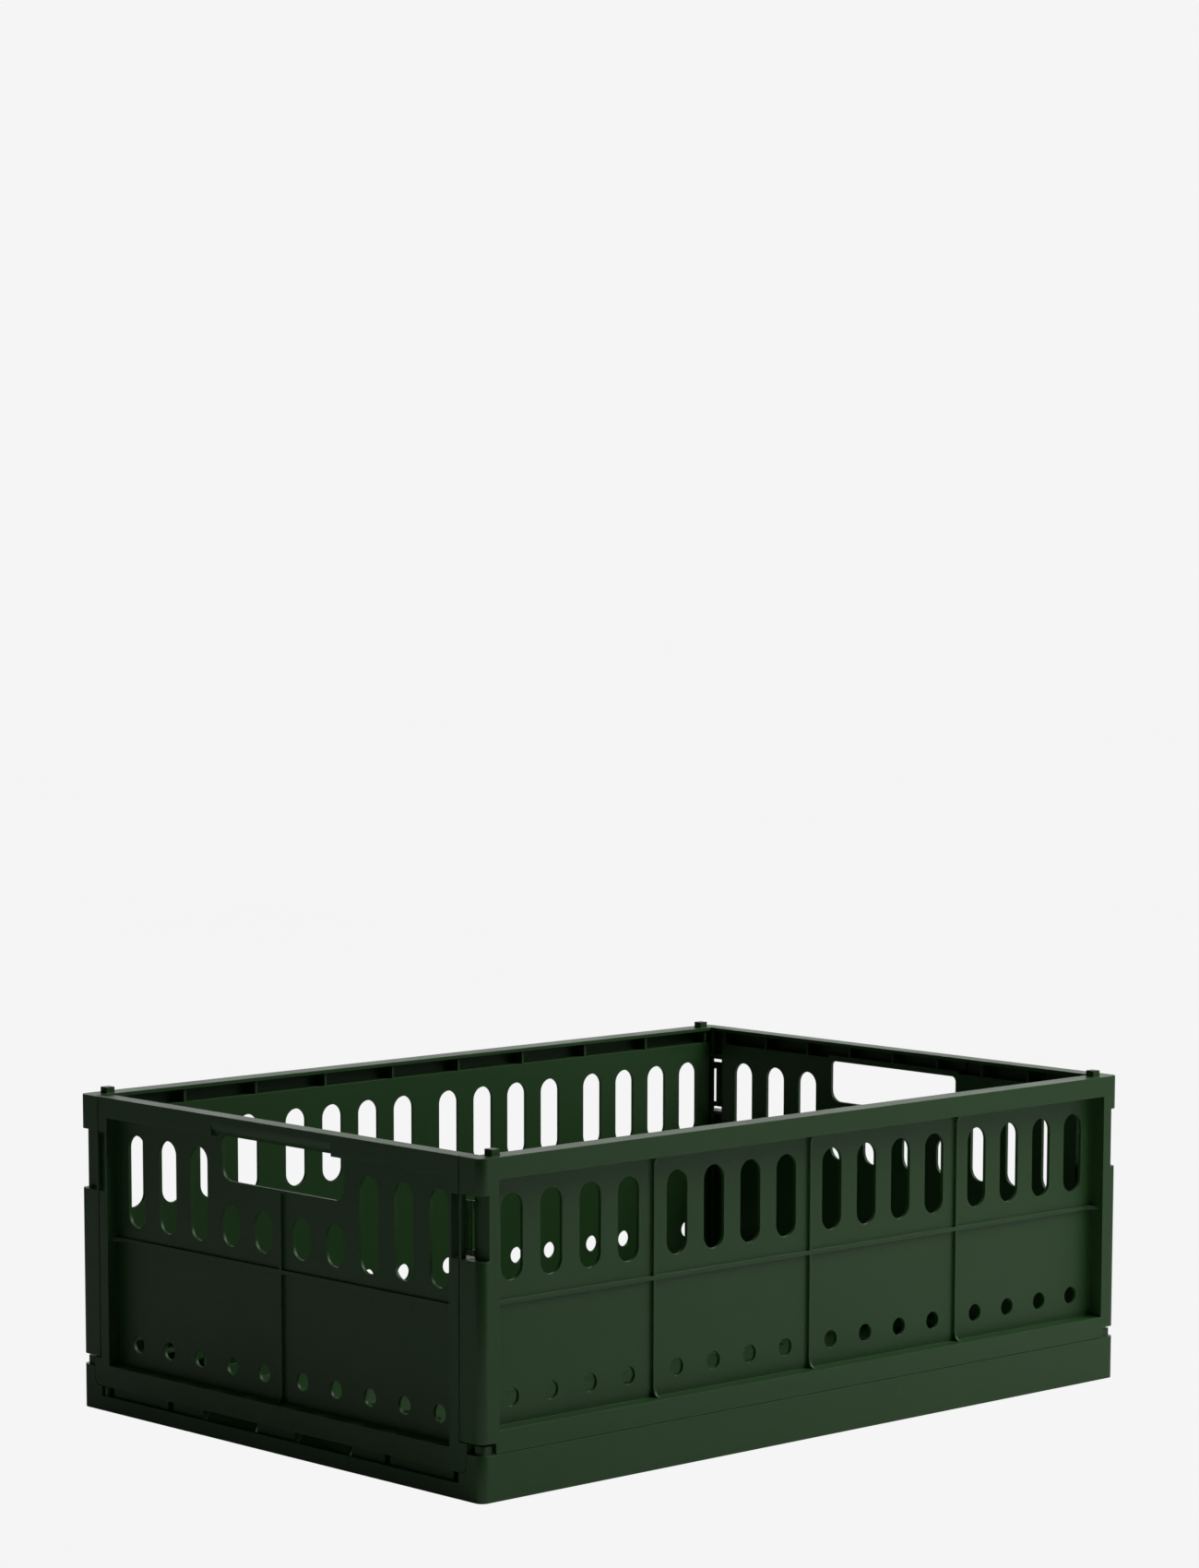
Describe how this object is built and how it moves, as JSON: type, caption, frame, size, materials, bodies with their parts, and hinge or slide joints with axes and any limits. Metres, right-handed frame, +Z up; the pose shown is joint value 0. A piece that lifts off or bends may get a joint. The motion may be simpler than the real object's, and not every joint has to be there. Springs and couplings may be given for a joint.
{
  "type": "collapsible storage crate",
  "caption": "Open-topped folding storage crate with perforated walls, hand holes in both ends, stacking pegs and a flat base.",
  "frame": {"origin": "middle of the underside of the base tray", "axes": "+X along the crate's length, +Y across its width, +Z up"},
  "size_m": [0.48, 0.331, 0.1765],
  "materials": {
    "green_polypropylene": "satin, fine moulded texture"
  },
  "bodies": {
    "crate_frame": {"base_tray": "green_polypropylene", "front_long_wall": "green_polypropylene", "back_long_wall": "green_polypropylene"},
    "left_end": {"left_short_wall": "green_polypropylene"},
    "right_end": {"right_short_wall": "green_polypropylene"}
  },
  "joints": [
    {"name": "left_wall_fold", "type": "hinge", "parent": "crate_frame", "child": "left_end", "pos_m": [-0.2343, 0, 0.008], "axis": [0, 1, 0], "range_deg": [0, 90]},
    {"name": "right_wall_fold", "type": "hinge", "parent": "crate_frame", "child": "right_end", "pos_m": [0.2343, 0, 0.008], "axis": [0, -1, 0], "range_deg": [0, 90]}
  ]
}
